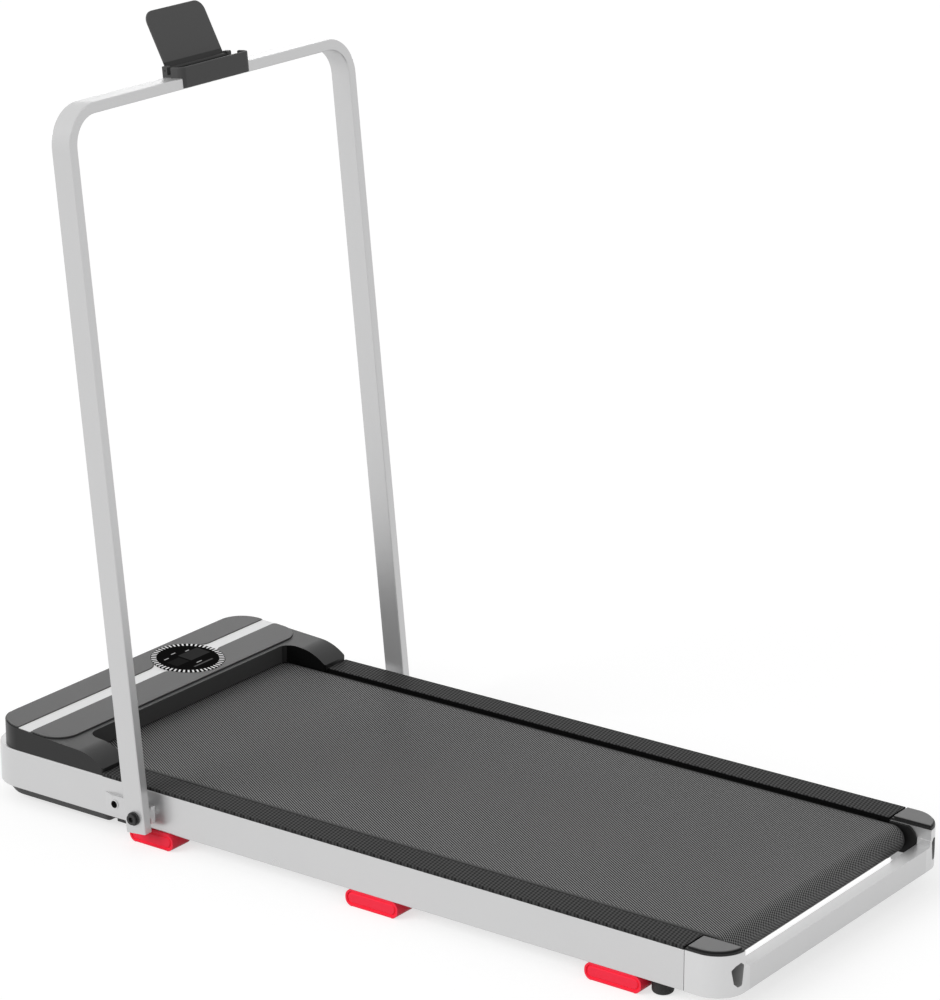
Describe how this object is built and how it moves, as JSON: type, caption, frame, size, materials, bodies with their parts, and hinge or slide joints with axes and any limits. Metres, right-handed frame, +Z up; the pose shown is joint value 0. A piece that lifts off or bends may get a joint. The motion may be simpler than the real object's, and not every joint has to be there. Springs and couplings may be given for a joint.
{
  "type": "walking pad",
  "caption": "Low walking pad with a running belt in a silver frame, a motor hood with a round display, a fold-down bent-tube handrail and a tilting phone holder.",
  "frame": {"origin": "on the floor under the middle of the deck frame", "axes": "+X from the motor end to the step-on end, +Y to the walker's right, +Z up"},
  "size_m": [1.22, 0.6116, 1.086],
  "materials": {
    "silver_paint": "satin",
    "cap_grey": "satin",
    "foot_rail_black": "woven texture",
    "belt_black": "fine diagonal weave",
    "skid_red": "satin",
    "foot_black": "matt",
    "hood_dark": "satin",
    "panel_grey": "satin",
    "stripe_white": "gloss",
    "display_black": "gloss",
    "pan_black": "matt",
    "steel": "brushed",
    "dark_steel": "satin black",
    "deck_wood": "black film",
    "cushion_rubber": "matt",
    "motor_grey": "satin",
    "rotor_steel": "machined",
    "board_green": "gloss",
    "bare_aluminium": "matt",
    "holder_black": "satin",
    "inlet_black": "satin",
    "wheel_black": "matt"
  },
  "bodies": {
    "deck_frame": {"left_rail": "silver_paint", "right_rail": "silver_paint", "front_bar": "silver_paint", "front_left_corner": "silver_paint", "front_right_corner": "silver_paint", "rear_bar": "silver_paint", "rear_left_corner": "silver_paint", "rear_right_corner": "silver_paint", "left_handrail_bracket": "silver_paint", "right_handrail_bracket": "silver_paint", "left_corner_cap": "cap_grey", "right_corner_cap": "cap_grey", "left_foot_rail": "foot_rail_black", "right_foot_rail": "foot_rail_black", "running_belt": "belt_black", "left_skids": "skid_red", "right_skids": "skid_red", "rear_feet": "foot_black", "motor_hood": "hood_dark", "left_roller_guard": "hood_dark", "right_roller_guard": "hood_dark", "hood_front_panel": "panel_grey", "hood_rear_panel": "panel_grey", "light_stripe": "stripe_white", "display_lens": "display_black", "bottom_pan": "pan_black", "drive_axle": "steel", "idler_axle": "steel", "tension_bolts": "steel", "wheel_axles": "steel", "deck_screws": "steel", "pivot_nuts": "steel", "cross_members": "dark_steel", "pivot_bolts": "dark_steel", "wheel_brackets": "dark_steel", "deck_board": "deck_wood", "deck_cushions": "cushion_rubber", "drive_belt": "cushion_rubber", "motor_can": "motor_grey", "motor_mount": "motor_grey", "control_board": "board_green", "display_board": "board_green", "heat_sink": "bare_aluminium", "power_inlet": "inlet_black"},
    "drive_roller": {"drive_roller": "steel", "drive_pulley": "bare_aluminium", "drive_bearings": "steel"},
    "idler_roller": {"idler_roller": "steel", "idler_bearings": "steel"},
    "motor_rotor": {"motor_rotor": "rotor_steel", "motor_pulley": "bare_aluminium", "motor_fan": "bare_aluminium"},
    "left_wheel": {"left_wheel": "wheel_black"},
    "right_wheel": {"right_wheel": "wheel_black"},
    "power_rocker": {"power_rocker": "inlet_black"},
    "handrail": {"handrail_tube": "silver_paint", "leg_inserts": "pan_black", "phone_clip": "holder_black", "phone_hinge_pin": "steel"},
    "phone_plate": {"phone_plate": "holder_black"}
  },
  "joints": [
    {"name": "handrail_fold", "type": "hinge", "parent": "deck_frame", "child": "handrail", "pos_m": [-0.312, 0, 0.048], "axis": [0, 1, 0], "range_deg": [0, 95.73]},
    {"name": "phone_plate_tilt", "type": "hinge", "parent": "handrail", "child": "phone_plate", "pos_m": [-0.42345, 0, 1.0135], "axis": [0, 1, 0], "range_deg": [0, 95]},
    {"name": "drive_roller_spin", "type": "hinge", "parent": "deck_frame", "child": "drive_roller", "pos_m": [-0.488, 0, 0.0607], "axis": [0, 1, 0], "continuous": true},
    {"name": "idler_roller_spin", "type": "hinge", "parent": "deck_frame", "child": "idler_roller", "pos_m": [0.5576, 0, 0.0607], "axis": [0, 1, 0], "continuous": true},
    {"name": "motor_spin", "type": "hinge", "parent": "deck_frame", "child": "motor_rotor", "pos_m": [-0.552, 0, 0.0607], "axis": [0, 1, 0], "continuous": true},
    {"name": "left_wheel_spin", "type": "hinge", "parent": "deck_frame", "child": "left_wheel", "pos_m": [-0.552, -0.217, 0.018], "axis": [0, 1, 0], "continuous": true},
    {"name": "right_wheel_spin", "type": "hinge", "parent": "deck_frame", "child": "right_wheel", "pos_m": [-0.552, 0.217, 0.018], "axis": [0, 1, 0], "continuous": true},
    {"name": "power_rocker_tilt", "type": "hinge", "parent": "deck_frame", "child": "power_rocker", "pos_m": [-0.6035, -0.1712, 0.052], "axis": [0, 1, 0], "range_deg": [0, 14]}
  ],
  "couplings": [
    {"joint": "idler_roller_spin", "follows": "drive_roller_spin", "ratio": 1},
    {"joint": "motor_spin", "follows": "drive_roller_spin", "ratio": 2.5}
  ]
}
